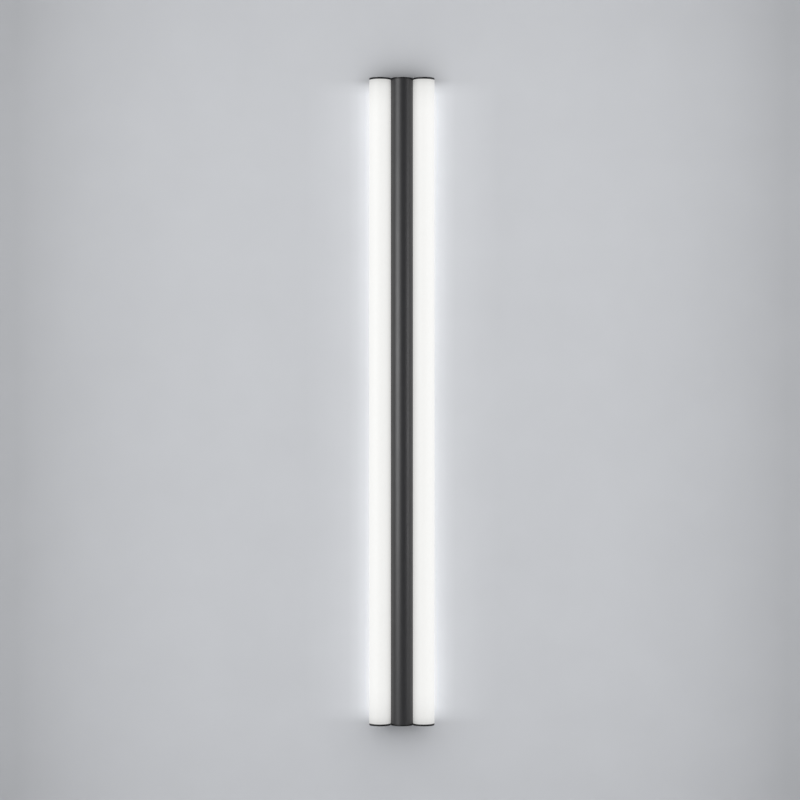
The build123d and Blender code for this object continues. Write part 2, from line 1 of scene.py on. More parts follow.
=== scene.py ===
"""Finishes and fine meshes of an upright wall light: two opal light tubes beside a dark round body.

Metres. +X right, +Y into the wall, +Z up, and the origin lies on the wall. Every piece starts from its
solid in the frame, gets true arcs, small bevels, moulded detail and a procedural finish, and stands in
for it.
"""

import json
import logging
from dataclasses import dataclass
from enum import Enum
from math import cos, e, hypot, pi, radians, sin
from typing import Callable, Iterable, Sequence

import bmesh
import bpy
from mathutils import Matrix, Vector

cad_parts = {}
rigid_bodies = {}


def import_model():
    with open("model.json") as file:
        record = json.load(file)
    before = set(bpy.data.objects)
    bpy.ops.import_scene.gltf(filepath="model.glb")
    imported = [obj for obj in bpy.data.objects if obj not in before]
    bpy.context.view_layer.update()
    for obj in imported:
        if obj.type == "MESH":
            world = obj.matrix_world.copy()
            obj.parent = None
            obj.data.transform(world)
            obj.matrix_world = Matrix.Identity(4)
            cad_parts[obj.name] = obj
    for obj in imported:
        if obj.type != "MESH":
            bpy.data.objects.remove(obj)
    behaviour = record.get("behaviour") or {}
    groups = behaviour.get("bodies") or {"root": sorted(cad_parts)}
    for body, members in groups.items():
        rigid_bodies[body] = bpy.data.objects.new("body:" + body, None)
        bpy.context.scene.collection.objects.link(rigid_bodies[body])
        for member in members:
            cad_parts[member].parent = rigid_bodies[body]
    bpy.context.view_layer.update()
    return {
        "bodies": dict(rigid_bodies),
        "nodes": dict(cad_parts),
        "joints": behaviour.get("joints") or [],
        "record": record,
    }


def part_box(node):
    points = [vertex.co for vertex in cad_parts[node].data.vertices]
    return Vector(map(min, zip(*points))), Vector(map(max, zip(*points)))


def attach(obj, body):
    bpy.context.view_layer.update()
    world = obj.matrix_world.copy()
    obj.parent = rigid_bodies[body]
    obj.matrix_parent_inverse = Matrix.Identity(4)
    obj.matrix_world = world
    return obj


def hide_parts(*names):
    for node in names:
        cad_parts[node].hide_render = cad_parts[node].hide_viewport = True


LOG = logging.getLogger("wall_light")

MM = 0.001
MERGE_DISTANCE = 0.002 * MM
FLAT_ANGLE = radians(0.4)
CREASE_ANGLE = radians(28)
ARC_TOLERANCE = 0.01 * MM
ARC_CUTS = 3
BEVEL_STEPS = 2
UPRIGHT = 0.01
FLAT = 0.99

Tree = bpy.types.NodeTree
Node = bpy.types.Node
Socket = bpy.types.NodeSocket
Shell = bmesh.types.BMesh
Face = bmesh.types.BMFace
Edge = bmesh.types.BMEdge
Material = bpy.types.Material
Span = tuple[float, float]
Stops = tuple[Span, ...]
Colour = tuple[float, float, float]
Value = float | tuple[float, ...] | Socket

UNIT = (0.0, 1.0)
NOISE_SPAN = (0.3, 0.7)
DUST_COLOUR = (0.62, 0.6, 0.57)
DUST_ROUGHNESS = 0.35


# ---- Node graphs
class Graph:
    """A node tree of a material, a group or the world, written as short expressions."""

    def __init__(self, tree: Tree) -> None:
        """Take over a tree."""
        self.tree = tree

    def feed(self, socket: Socket, value: Value) -> None:
        """Give an input a plain value or a link.

        Args:
            socket: The input.
            value: A number, a vector, a colour or another node's output.
        """
        if isinstance(value, Socket):
            self.tree.links.new(value, socket)
        elif socket.type == "RGBA":
            socket.default_value = (*value, 1.0)
        else:
            socket.default_value = value

    def node(
        self, kind: str, inputs: dict[str | int, Value] | None = None, **settings: object
    ) -> Node:
        """Add a node.

        Args:
            kind: The node's type, less its first words ShaderNode.
            inputs: Values or links by the input's name or number.
            **settings: Properties of the node, set before its inputs.

        Returns:
            The new node.
        """
        made = self.tree.nodes.new(f"ShaderNode{kind}")
        for key, value in settings.items():
            setattr(made, key, value)
        for key, value in (inputs or {}).items():
            self.feed(made.inputs[key], value)
        return made

    def math(
        self, operation: str, first: Value, second: Value = 0.0, clamp: bool = False
    ) -> Socket:
        """Give the result of a Math node."""
        inputs = {0: first, 1: second}
        return self.node("Math", inputs, operation=operation, use_clamp=clamp).outputs[0]

    def times(self, first: Value, second: Value, clamp: bool = False) -> Socket:
        """Multiply two values."""
        return self.math("MULTIPLY", first, second, clamp)

    def mix(self, share: Value, first: Value, second: Value, blend: str = "MIX") -> Socket:
        """Mix two colours by the share of the second."""
        inputs = {0: share, 6: first, 7: second}
        return self.node("Mix", inputs, data_type="RGBA", blend_type=blend).outputs[2]

    def tint(self, first: Value, second: Value) -> Socket:
        """Multiply two colours."""
        return self.mix(1.0, first, second, blend="MULTIPLY")

    def remap(
        self, value: Value, source: tuple[Value, Value], target: Span = UNIT, smooth: bool = False
    ) -> Socket:
        """Map one range to another, clamped, and eased in and out where it is smooth."""
        return self.node(
            "MapRange", dict(enumerate((value, *source, *target))),
            interpolation_type="SMOOTHSTEP" if smooth else "LINEAR",
        ).outputs[0]

    def ramp(self, value: Value, stops: Stops) -> Socket:
        """Turn a value from 0 to 1 into a grey, straight from stop to stop.

        Args:
            value: The value.
            stops: Places and levels in rising order.

        Returns:
            The grey.
        """
        made = self.node("ValToRGB", {0: value})
        while len(made.color_ramp.elements) < len(stops):
            made.color_ramp.elements.new(1.0)
        for element, (place, level) in zip(made.color_ramp.elements, stops):
            element.position = place
            element.color = (level, level, level, 1.0)
        return made.outputs[0]

    def grey(self, level: Value) -> Socket:
        """Give the grey of one level."""
        return self.node("CombineColor", {0: level, 1: level, 2: level}).outputs[0]

    def bump(self, height: Value, distance: float, strength: float = 1.0) -> Socket:
        """Give the normals of a relief that is as deep as the distance at a height of one."""
        inputs = {"Strength": strength, "Distance": distance, "Height": height}
        return self.node("Bump", inputs).outputs[0]

    def clear_where(self, shader: Node, share: Value) -> None:
        """Make the material's surface see-through by a share."""
        clear = self.node("BsdfTransparent").outputs[0]
        self.feed(
            self.tree.nodes["Material Output"].inputs["Surface"],
            self.node("MixShader", {0: share, 1: shader.outputs[0], 2: clear}).outputs[0],
        )

    def place(self) -> Socket:
        """Give the surface's place in the light's own axes."""
        return self.node("TexCoord").outputs["Object"]

    def position(self) -> tuple[Socket, ...]:
        """Give the surface's place as X, Y and Z."""
        return tuple(self.node("SeparateXYZ", {0: self.place()}).outputs)

    def dot(self, first: Value, second: Value) -> Socket:
        """Give the dot product of two vectors."""
        inputs = {0: first, 1: second}
        return self.node("VectorMath", inputs, operation="DOT_PRODUCT").outputs["Value"]

    def noise(
        self, scale: Value, stretch: Value = (1.0, 1.0, 1.0), detail: float = 3.0
    ) -> Socket:
        """Give a noise about 0.5 by its cells per metre, its scale along each axis and its octaves."""
        placed = self.node("Mapping", {"Vector": self.place(), "Scale": stretch}).outputs[0]
        return self.node("TexNoise", {"Vector": placed, "Scale": scale, "Detail": detail}).outputs[0]


def start_material(name: str, specular: float) -> tuple[Material, Graph, Node]:
    """Start a material.

    Args:
        name: Its name.
        specular: Its specular level.

    Returns:
        The material, its graph and its Principled BSDF.
    """
    material = bpy.data.materials.new(name)
    material.use_nodes = True
    shader = material.node_tree.nodes["Principled BSDF"]
    shader.inputs["Specular IOR Level"].default_value = specular
    return material, Graph(material.node_tree), shader


class Effect(Enum):
    """Effects that several finishes share."""

    GRAIN = "surface_grain"
    WEAR = "edge_wear"
    DUST = "settled_dust"
    SMUDGE = "handling_smudge"


class EffectGroups:
    """Shared node groups, each built once."""

    broad_scale = 0.13
    broad_height = 0.5
    edge_facing = (0.98, 0.8)
    wear_breaks = (0.42, 0.6)
    dust_facing = (0.5, 1.0)
    dust_breaks = (0.35, 0.7)
    dust_share = (0.4, 1.0)

    def __init__(self) -> None:
        """Build every group."""
        self.trees = {
            Effect.GRAIN: self._grain(),
            Effect.WEAR: self._wear(),
            Effect.DUST: self._dust(),
            Effect.SMUDGE: self._smudge(),
        }

    def place(self, graph: Graph, effect: Effect, inputs: dict[str, Value]) -> Node:
        """Place a group with its values in a material's graph."""
        return graph.node("Group", inputs, node_tree=self.trees[effect])

    @staticmethod
    def _start(
        effect: Effect, inputs: dict[str, Value], outputs: Sequence[str]
    ) -> tuple[Graph, dict, Node]:
        """Open a new group.

        Args:
            effect: The group's effect.
            inputs: Names and default values of its inputs.
            outputs: Names of its outputs.

        Returns:
            The graph, the inputs by name and the group's output node.
        """
        tree = bpy.data.node_groups.new(effect.value, "ShaderNodeTree")
        for name, default in inputs.items():
            kind = "NodeSocketVector" if isinstance(default, tuple) else "NodeSocketFloat"
            socket = tree.interface.new_socket(name=name, in_out="INPUT", socket_type=kind)
            socket.default_value = default
        for name in outputs:
            tree.interface.new_socket(name=name, in_out="OUTPUT", socket_type="NodeSocketFloat")
        given = {socket.name: socket for socket in tree.nodes.new("NodeGroupInput").outputs}
        return Graph(tree), given, tree.nodes.new("NodeGroupOutput")

    def _grain(self) -> Tree:
        """Build the fine grain of a coat, a moulding or a rolled sheet."""
        graph, given, result = self._start(
            Effect.GRAIN, {"Scale": 900.0, "Stretch": (1.0, 1.0, 1.0)}, ("Height", "Shade")
        )
        fine = graph.noise(given["Scale"], given["Stretch"], detail=5.0)
        broad_cells = graph.times(given["Scale"], self.broad_scale)
        broad = graph.noise(broad_cells, given["Stretch"], detail=2.0)
        swell = graph.times(broad, self.broad_height)
        graph.feed(result.inputs["Height"], graph.math("ADD", fine, swell))
        graph.feed(result.inputs["Shade"], graph.remap(broad, NOISE_SPAN))
        return graph.tree

    def _wear(self) -> Tree:
        """Build the mask of rubbed edges."""
        graph, given, result = self._start(Effect.WEAR, {"Radius": 0.0004, "Breakup": 300.0}, ("Mask",))
        rounded = graph.node("Bevel", {"Radius": given["Radius"]}, samples=4).outputs[0]
        true = graph.node("NewGeometry").outputs["Normal"]
        edge = graph.remap(graph.dot(rounded, true), self.edge_facing)
        broken = graph.remap(graph.noise(given["Breakup"]), self.wear_breaks, smooth=True)
        graph.feed(result.inputs["Mask"], graph.times(edge, broken, clamp=True))
        return graph.tree

    def _dust(self) -> Tree:
        """Build the mask of dust on faces that look up."""
        graph, given, result = self._start(Effect.DUST, {"Scale": 60.0, "Amount": 0.3}, ("Mask",))
        normal = graph.node("NewGeometry").outputs["Normal"]
        upward = graph.node("SeparateXYZ", {0: normal}).outputs["Z"]
        lying = graph.remap(upward, self.dust_facing, smooth=True)
        patches = graph.remap(graph.noise(given["Scale"], detail=6.0), self.dust_breaks, self.dust_share)
        settled = graph.times(lying, patches)
        graph.feed(result.inputs["Mask"], graph.times(settled, given["Amount"], clamp=True))
        return graph.tree

    def _smudge(self) -> Tree:
        """Build the slow change of roughness that handling leaves."""
        graph, given, result = self._start(
            Effect.SMUDGE, {"Scale": 14.0, "Roughness": 0.4, "Change": 0.04}, ("Roughness",)
        )
        cloud = graph.remap(graph.noise(given["Scale"], detail=4.0), NOISE_SPAN, (-1.0, 1.0))
        change = graph.times(cloud, given["Change"])
        graph.feed(result.inputs["Roughness"], graph.math("ADD", given["Roughness"], change, clamp=True))
        return graph.tree


# ---- Finishes
@dataclass(frozen=True)
class Finish:
    """A plain finish: a base colour with grain, handled patches, rubbed edges and some dust."""

    name: str
    slot: str
    colour: Colour
    second_colour: Colour
    worn_colour: Colour
    roughness: float = 0.3
    roughness_change: float = 0.05
    metallic: float = 0.0
    specular: float = 0.5
    grain_scale: float = 2600.0
    grain_stretch: Colour = (1.0, 1.0, 1.0)
    grain_depth: float = 0.004
    wear: float = 0.3
    wear_radius: float = 0.3 * MM
    dust: float = 0.1

    def build(self, effects: EffectGroups) -> Material:
        """Make the material.

        Args:
            effects: The shared groups.

        Returns:
            The material.
        """
        material, graph, shader = start_material(self.name, self.specular)
        cells = {"Scale": self.grain_scale, "Stretch": self.grain_stretch}
        grain = effects.place(graph, Effect.GRAIN, cells)
        wear = effects.place(graph, Effect.WEAR, {"Radius": self.wear_radius}).outputs["Mask"]
        dust = effects.place(graph, Effect.DUST, {"Amount": self.dust}).outputs["Mask"]
        handled = {"Roughness": self.roughness, "Change": self.roughness_change}
        smudge = effects.place(graph, Effect.SMUDGE, handled).outputs["Roughness"]
        surface = self.paint(graph, grain.outputs["Shade"])
        worn = graph.times(wear, self.wear)
        rubbed = graph.mix(worn, surface, self.worn_colour)
        graph.feed(shader.inputs["Base Color"], graph.mix(dust, rubbed, DUST_COLOUR))
        dusty = graph.times(dust, DUST_ROUGHNESS)
        graph.feed(shader.inputs["Roughness"], graph.math("ADD", smudge, dusty, clamp=True))
        shader.inputs["Metallic"].default_value = self.metallic
        relief = self.emboss(graph, grain.outputs["Height"])
        graph.feed(shader.inputs["Normal"], graph.bump(relief, self.grain_depth * MM))
        glow = self.light(graph)
        if glow is not None:
            graph.feed(shader.inputs["Emission Color"], glow)
            shader.inputs["Emission Strength"].default_value = 1.0
        return material

    def paint(self, graph: Graph, shade: Socket) -> Socket:
        """Give the clean surface's colour from the grain's shade."""
        return graph.mix(shade, self.colour, self.second_colour)

    def emboss(self, graph: Graph, height: Socket) -> Socket:
        """Give the surface's relief from the grain's height."""
        return height

    def light(self, graph: Graph) -> Socket | None:
        """Give the colour of the surface's own light; a plain finish has none."""


@dataclass(frozen=True)
class OpalFinish(Finish):
    """Opal acrylic lit from inside: dimmer beside the slot and near the tube's ends."""

    axis_x: float = 0.0
    axis_y: float = 0.0
    slot_direction: Span = (1.0, 0.0)
    half_length: float = 0.6
    glow: Colour = (0.671, 0.671, 0.658)
    glow_by_turn: Stops = (
        (0.0, 1.0), (0.1, 0.99), (0.17, 0.965), (0.25, 0.94), (0.33, 0.925), (0.42, 0.915),
        (0.52, 0.896), (0.6, 0.88), (0.7, 0.865), (0.82, 0.82), (0.9, 0.95), (1.0, 1.0),
    )
    glow_by_end: Stops = (
        (0.0, 0.58), (0.06, 0.64), (0.12, 0.74), (0.24, 0.84), (0.4, 0.9), (0.65, 0.96), (1.0, 1.0),
    )
    end_fade: float = 60 * MM

    def light(self, graph: Graph) -> Socket:
        """Let the tube glow.

        Args:
            graph: The material's graph.

        Returns:
            The glow's colour.
        """
        x, y, z = graph.position()
        across = graph.math("SUBTRACT", x, self.axis_x)
        behind = graph.math("SUBTRACT", y, self.axis_y)
        radial = graph.node("CombineXYZ", {0: across, 1: behind}).outputs[0]
        outward = graph.node("VectorMath", {0: radial}, operation="NORMALIZE").outputs[0]
        facing = graph.dot(outward, (*self.slot_direction, 0.0))
        by_turn = graph.ramp(graph.remap(facing, (-1.0, 1.0)), self.glow_by_turn)
        from_end = graph.math("SUBTRACT", self.half_length, graph.math("ABSOLUTE", z))
        by_end = graph.ramp(graph.remap(from_end, (0.0, self.end_fade)), self.glow_by_end)
        return graph.tint(graph.tint(by_turn, by_end), self.glow)


@dataclass(frozen=True)
class SheenPaintedCoat(Finish):
    """Fine powder coat with a painted sheen: paler at a slant, standing in for the glowing tubes'
    reflection on its flanks.
    """

    # Colour and facing range of the painted sheen.
    painted_sheen_colour: Colour = (0.052, 0.0515, 0.053)
    sheen_facing_span: Span = (0.2, 0.46)

    def paint(self, graph: Graph, shade: Socket) -> Socket:
        """Give the coat's colour, with the painted sheen at a slant mixed in.

        Args:
            graph: The material's graph.
            shade: The grain's shade.

        Returns:
            The colour.
        """
        # Painted sheen: the colour turns paler where the coat is seen at a slant, standing in for the
        # tubes' reflection.
        facing = graph.node("LayerWeight", {"Blend": 0.5}).outputs["Facing"]
        painted_sheen_share = graph.remap(facing, self.sheen_facing_span, smooth=True)
        return graph.mix(painted_sheen_share, super().paint(graph, shade), self.painted_sheen_colour)


@dataclass(frozen=True)
class SpangledZinc(Finish):
    """Galvanised sheet with the zinc's flat crystals."""

    crystal_scale: float = 260.0
    veil: float = 0.25

    def paint(self, graph: Graph, shade: Socket) -> Socket:
        """Give the crystals' colour.

        Args:
            graph: The material's graph.
            shade: The grain's shade.

        Returns:
            The colour.
        """
        cells = {"Vector": graph.place(), "Scale": self.crystal_scale}
        crystals = graph.node("TexVoronoi", cells)
        tone = graph.node("SeparateColor", {0: crystals.outputs["Color"]}).outputs[0]
        veil = graph.times(shade, self.veil)
        return graph.mix(veil, super().paint(graph, tone), self.second_colour)


@dataclass(frozen=True)
class SolderMask(Finish):
    """White lacquer of the light boards, with the copper's faint edges under it."""

    track_pitch: float = 2.4 * MM
    track_flank: Span = (0.5, 0.6)
    ripple: float = 0.3

    def emboss(self, graph: Graph, height: Socket) -> Socket:
        """Raise the copper tracks and the lacquer's ripple.

        Args:
            graph: The material's graph.
            height: The grain's height.

        Returns:
            The relief.
        """
        track = graph.math("PINGPONG", graph.position()[1], self.track_pitch)
        flank = tuple(share * self.track_pitch for share in self.track_flank)
        ripple = graph.times(height, self.ripple)
        return graph.math("ADD", graph.remap(track, flank, smooth=True), ripple)


@dataclass(frozen=True)
class PhosphorFinish(Finish):
    """Yellow phosphor that shines through its own cover."""

    glow: Colour = (0.9, 0.82, 0.55)
    cloud_scale: float = 900.0
    cloud_span: Span = (0.85, 1.0)

    def light(self, graph: Graph) -> Socket:
        """Let the phosphor shine, unevenly."""
        cloud = graph.remap(graph.noise(self.cloud_scale), NOISE_SPAN, self.cloud_span)
        return graph.tint(graph.grey(cloud), self.glow)


@dataclass(frozen=True)
class StripedInsulation(Finish):
    """Earth insulation: two colours that turn along the lead."""

    stripe_pitch: float = 9 * MM
    stripe_edge: Span = (0.24, 0.26)
    slope: float = 1.4
    fading: float = 0.1

    def paint(self, graph: Graph, shade: Socket) -> Socket:
        """Give the stripes' colour.

        Args:
            graph: The material's graph.
            shade: The grain's shade.

        Returns:
            The colour.
        """
        x, y, z = graph.position()
        sideways = graph.times(graph.math("ADD", x, y), self.slope)
        phase = graph.math("PINGPONG", graph.math("ADD", z, sideways), self.stripe_pitch / 2)
        edge = tuple(share * self.stripe_pitch for share in self.stripe_edge)
        striped = super().paint(graph, graph.remap(phase, edge))
        return graph.mix(graph.times(shade, self.fading), striped, self.worn_colour)


# The body's coat; its paleness at a slant is a painted sheen.
COAT = SheenPaintedCoat(
    "graphite_coat_painted_sheen", "graphite_coat",
    (0.007, 0.0067, 0.0082), (0.0092, 0.0088, 0.0108), (0.05, 0.05, 0.053),
    roughness=0.46, roughness_change=0.02, specular=0.38, grain_stretch=(1.0, 1.0, 0.35),
    wear=0.15, dust=0.05,
)
# The body's coat made darker and less glossy for the end plates: a painted shade on their thin edges.
PLATE_COAT = Finish(
    "graphite_plate_coat", "graphite_plate",
    (0.005, 0.0049, 0.0056), (0.0065, 0.0063, 0.0072), (0.05, 0.05, 0.053),
    roughness=0.5, roughness_change=0.03, specular=0.2, grain_depth=0.006, wear=0.12, dust=0.04,
)
MILL_ALUMINIUM = Finish(
    "mill_aluminium", "tray_aluminium", (0.72, 0.725, 0.735), (0.62, 0.625, 0.64), (0.85, 0.85, 0.86),
    roughness=0.34, roughness_change=0.07, metallic=1.0, grain_scale=1400.0,
    grain_stretch=(1.0, 1.0, 0.02), wear=0.4, dust=0.2,
)
ZINC_SHEET = SpangledZinc(
    "galvanised_sheet", "zinc_steel", (0.66, 0.67, 0.69), (0.5, 0.515, 0.54), (0.78, 0.78, 0.79),
    roughness=0.36, roughness_change=0.08, metallic=1.0, grain_scale=700.0, grain_depth=0.006,
    wear=0.4, dust=0.2,
)
RUBBER = Finish(
    "black_rubber", "black_rubber", (0.022, 0.022, 0.023), (0.03, 0.03, 0.031), (0.07, 0.07, 0.07),
    roughness=0.68, specular=0.35, grain_scale=2200.0, grain_depth=0.015, wear=0.2, dust=0.3,
)
BLACK_SCREW = Finish(
    "blackened_steel", "black_screw", (0.035, 0.035, 0.038), (0.05, 0.05, 0.054), (0.3, 0.3, 0.31),
    roughness=0.33, metallic=0.85, grain_scale=3000.0, wear=0.45,
)
ZINC_SCREW = Finish(
    "zinc_plated_steel", "zinc_screw", (0.68, 0.69, 0.7), (0.58, 0.6, 0.62), (0.8, 0.8, 0.8),
    roughness=0.27, metallic=1.0,
)
BRASS = Finish(
    "brass", "brass_screw", (0.78, 0.58, 0.28), (0.68, 0.48, 0.22), (0.88, 0.72, 0.42),
    roughness=0.26, metallic=1.0, wear=0.4,
)
TINNED = Finish(
    "tinned_copper", "brass_screw", (0.74, 0.73, 0.7), (0.62, 0.61, 0.58), (0.76, 0.6, 0.45),
    metallic=1.0, grain_scale=2200.0, grain_depth=0.006,
)
SPRING = Finish(
    "spring_steel", "spring_steel", (0.56, 0.56, 0.57), (0.46, 0.46, 0.47), (0.7, 0.7, 0.7),
    roughness=0.25, metallic=1.0, grain_depth=0.003, dust=0.0,
)
CASE_PLASTIC = Finish(
    "moulded_case", "driver_plastic", (0.76, 0.76, 0.75), (0.72, 0.72, 0.705), (0.82, 0.82, 0.81),
    roughness=0.5, specular=0.45, grain_scale=2800.0, grain_depth=0.03, wear=0.2, dust=0.2,
)
TERMINAL_PLASTIC = Finish(
    "terminal_grey", "terminal_plastic", (0.42, 0.43, 0.435), (0.38, 0.39, 0.395), (0.55, 0.55, 0.55),
    roughness=0.4, grain_depth=0.012, dust=0.15,
)
BUTTON_PLASTIC = Finish(
    "button_orange", "button_plastic", (0.78, 0.2, 0.03), (0.7, 0.17, 0.028), (0.85, 0.4, 0.2),
    roughness=0.38, grain_depth=0.01,
)
NYLON = Finish(
    "connector_nylon", "connector_nylon", (0.76, 0.73, 0.64), (0.7, 0.67, 0.58), (0.82, 0.8, 0.75),
    roughness=0.44, grain_depth=0.01, wear=0.2, dust=0.0,
)
BOARD = SolderMask(
    "white_solder_mask", "board_white", (0.84, 0.84, 0.82), (0.8, 0.8, 0.775), (0.74, 0.6, 0.4),
    roughness=0.26, grain_scale=400.0, grain_depth=0.03, wear=0.5, wear_radius=0.2 * MM, dust=0.0,
)
LED_FRAME = Finish(
    "led_frame", "led_phosphor", (0.85, 0.85, 0.83), (0.8, 0.8, 0.77), (0.88, 0.88, 0.88),
    roughness=0.35, grain_scale=4000.0, wear=0.2, dust=0.0,
)
PHOSPHOR = PhosphorFinish(
    "led_phosphor", "led_phosphor", (0.86, 0.62, 0.12), (0.8, 0.55, 0.1), (0.86, 0.66, 0.2),
    grain_scale=4000.0, grain_depth=0.006, wear=0.0, dust=0.0,
)
INSULATION = {"roughness": 0.42, "grain_scale": 1800.0, "grain_depth": 0.008, "wear": 0.1}


def insulation(name: str, colour: Colour) -> Finish:
    """Give the finish of one lead's insulation.

    Args:
        name: The material's name.
        colour: The insulation's colour.

    Returns:
        The finish.
    """
    darker = tuple(0.85 * part for part in colour)
    paler = tuple(0.8 * part + 0.1 for part in colour)
    return Finish(name, "lead_insulation", colour, darker, paler, **INSULATION)


LIVE_INSULATION = insulation("live_insulation", (0.16, 0.055, 0.02))
NEUTRAL_INSULATION = insulation("neutral_insulation", (0.03, 0.16, 0.55))
RED_INSULATION = insulation("red_insulation", (0.55, 0.02, 0.02))
BLACK_INSULATION = insulation("black_insulation", (0.02, 0.02, 0.022))
EARTH_INSULATION = StripedInsulation(
    "earth_insulation", "lead_insulation", (0.75, 0.62, 0.03), (0.04, 0.33, 0.08), (0.6, 0.6, 0.4),
    **INSULATION,
)


# ---- Turning solids of the frame into finished pieces
@dataclass(frozen=True)
class Arc:
    """A round surface along Z, by its axis and its radius."""

    x: float
    y: float
    radius: float

    def holds(self, point: Vector) -> bool:
        """Tell whether a point lies on the surface."""
        return abs(hypot(point.x - self.x, point.y - self.y) - self.radius) < ARC_TOLERANCE

    def pull(self, point: Vector) -> None:
        """Move a point out to the surface, level with where it is."""
        reach = hypot(point.x - self.x, point.y - self.y)
        point.x = self.x + (point.x - self.x) * self.radius / reach
        point.y = self.y + (point.y - self.y) * self.radius / reach


Detailer = Callable[[Shell], None]


class Workshop:
    """Turns solids of the frame into finished pieces and keeps the materials that they share."""

    def __init__(self, frame: dict) -> None:
        """Read which body carries each node.

        Args:
            frame: The loaded frame.
        """
        self.nodes = frame["nodes"]
        self.effects = EffectGroups()
        self.materials: dict[str, Material] = {}
        bodies = frame["record"]["behaviour"]["bodies"]
        self.body_of = {node: body for body, nodes in bodies.items() for node in nodes}

    def material(self, finish: Finish) -> Material:
        """Give a finish's material, built at its first use."""
        if finish.name not in self.materials:
            self.materials[finish.name] = finish.build(self.effects)
        return self.materials[finish.name]

    def solid(self, node: str) -> Shell:
        """Copy a node's mesh, merged to one closed shell per solid, with its flats as single faces.

        Args:
            node: The node's name.

        Returns:
            The copy.
        """
        shell = bmesh.new()
        shell.from_mesh(self.nodes[node].data)
        bmesh.ops.remove_doubles(shell, verts=shell.verts, dist=MERGE_DISTANCE)
        bmesh.ops.dissolve_limit(
            shell, angle_limit=FLAT_ANGLE, verts=shell.verts, edges=shell.edges,
            use_dissolve_boundaries=False,
        )
        for face in shell.faces:
            face.material_index = 0
        return shell

    def piece(
        self, node: str, name: str, *finishes: Finish, bevel: float = 0.15 * MM,
        arcs: Sequence[Arc] = (), detail: Detailer | None = None,
    ) -> None:
        """Make the finished piece that stands in for a node.

        Args:
            node: The node it replaces.
            name: The piece's name.
            *finishes: Its finish, or several by material index.
            bevel: Width of the bevel on its hard edges, or 0.
            arcs: Round surfaces whose facets are made finer.
            detail: Shapes the mesh further before it is bevelled.
        """
        shell = self.solid(node)
        for arc in arcs:
            round_out(shell, arc)
        if detail is not None:
            detail(shell)
        if bevel > 0:
            soften(shell, hard_edges(shell.edges), bevel)
        self.keep(shell, node, name, *finishes)

    def keep(self, shell: Shell, node: str, name: str, *finishes: Finish) -> bpy.types.Object:
        """Turn a mesh into a piece that rides on its node's body.

        Args:
            shell: The finished mesh, which is freed.
            node: The node it replaces.
            name: The piece's name.
            *finishes: Its finish, or several by material index.

        Returns:
            The new piece.
        """
        for face in shell.faces:
            face.smooth = True
        for edge in shell.edges:
            edge.smooth = edge.calc_face_angle(0.0) < CREASE_ANGLE
        mesh = bpy.data.meshes.new(name)
        shell.to_mesh(mesh)
        shell.free()
        for finish in finishes:
            mesh.materials.append(self.material(finish))
        piece = bpy.data.objects.new(name, mesh)
        bpy.context.scene.collection.objects.link(piece)
        weighted = piece.modifiers.new("weighted_normals", "WEIGHTED_NORMAL")
        weighted.keep_sharp = True
        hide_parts(node)
        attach(piece, self.body_of[node])
        LOG.info("%s stands in for %s: %d faces", name, node, len(mesh.polygons))
        return piece


def round_out(shell: Shell, arc: Arc) -> None:
    """Divide the facets of a round surface along Z and bring them out to its true radius.

    Args:
        shell: The mesh.
        arc: The round surface.
    """
    chords = [
        edge for edge in shell.edges
        if abs(edge.verts[0].co.z - edge.verts[1].co.z) < ARC_TOLERANCE
        and all(arc.holds(vert.co) for vert in edge.verts)
        and edge.calc_length() < arc.radius
        and all(not UPRIGHT <= abs(face.normal.z) <= FLAT for face in edge.link_faces)
    ]
    divided = bmesh.ops.subdivide_edges(shell, edges=chords, cuts=ARC_CUTS, use_grid_fill=False)
    for item in divided["geom_inner"]:
        if isinstance(item, bmesh.types.BMVert):
            arc.pull(item.co)


def hard_edges(edges: Iterable[Edge]) -> list[Edge]:
    """List those edges whose faces meet at more than the crease angle."""
    return [edge for edge in edges if edge.calc_face_angle(0.0) > CREASE_ANGLE]


def soften(shell: Shell, edges: Sequence[Edge], width: float) -> None:
    """Bevel some edges."""
    bmesh.ops.bevel(
        shell, geom=edges, offset=width, offset_type="OFFSET", segments=BEVEL_STEPS, profile=0.5,
        affect="EDGES", clamp_overlap=True, material=-1,
    )


def sink(
    shell: Shell, faces: Sequence[Face], rim: float, slope: float, depth: float, even: bool = False
) -> list[Face]:
    """Sink a field into each face, within a rim.

    Args:
        shell: The mesh.
        faces: The faces, which become the fields' floors.
        rim: Width of the rim.
        slope: How far the field's walls lean in.
        depth: Depth of the field.
        even: Keep the lean the same on all sides.

    Returns:
        The rims' faces.
    """
    inset = bmesh.ops.inset_individual
    rims = inset(shell, faces=faces, thickness=rim, use_even_offset=True)
    inset(shell, faces=faces, thickness=slope, depth=-depth, use_even_offset=even)
    return rims["faces"]


def islands(shell: Shell) -> list[list[Face]]:
    """Sort a mesh's faces into its separate solids.

    Args:
        shell: The mesh.

    Returns:
        The faces of each solid, from left to right and then from bottom to top.
    """
    left, found = set(shell.faces), []
    while left:
        group, front = [], [left.pop()]
        while front:
            face = front.pop()
            group.append(face)
            near = {other for edge in face.edges for other in edge.link_faces} & left
            left -= near
            front.extend(near)
        found.append(group)
    return sorted(found, key=lambda group: tuple(round(part, 4) for part in middle_of(group)))


def middle_of(faces: Iterable[Face]) -> Vector:
    """Give the middle of some faces' corners."""
    corners = {vert for face in faces for vert in face.verts}
    return sum((vert.co for vert in corners), Vector()) / len(corners)


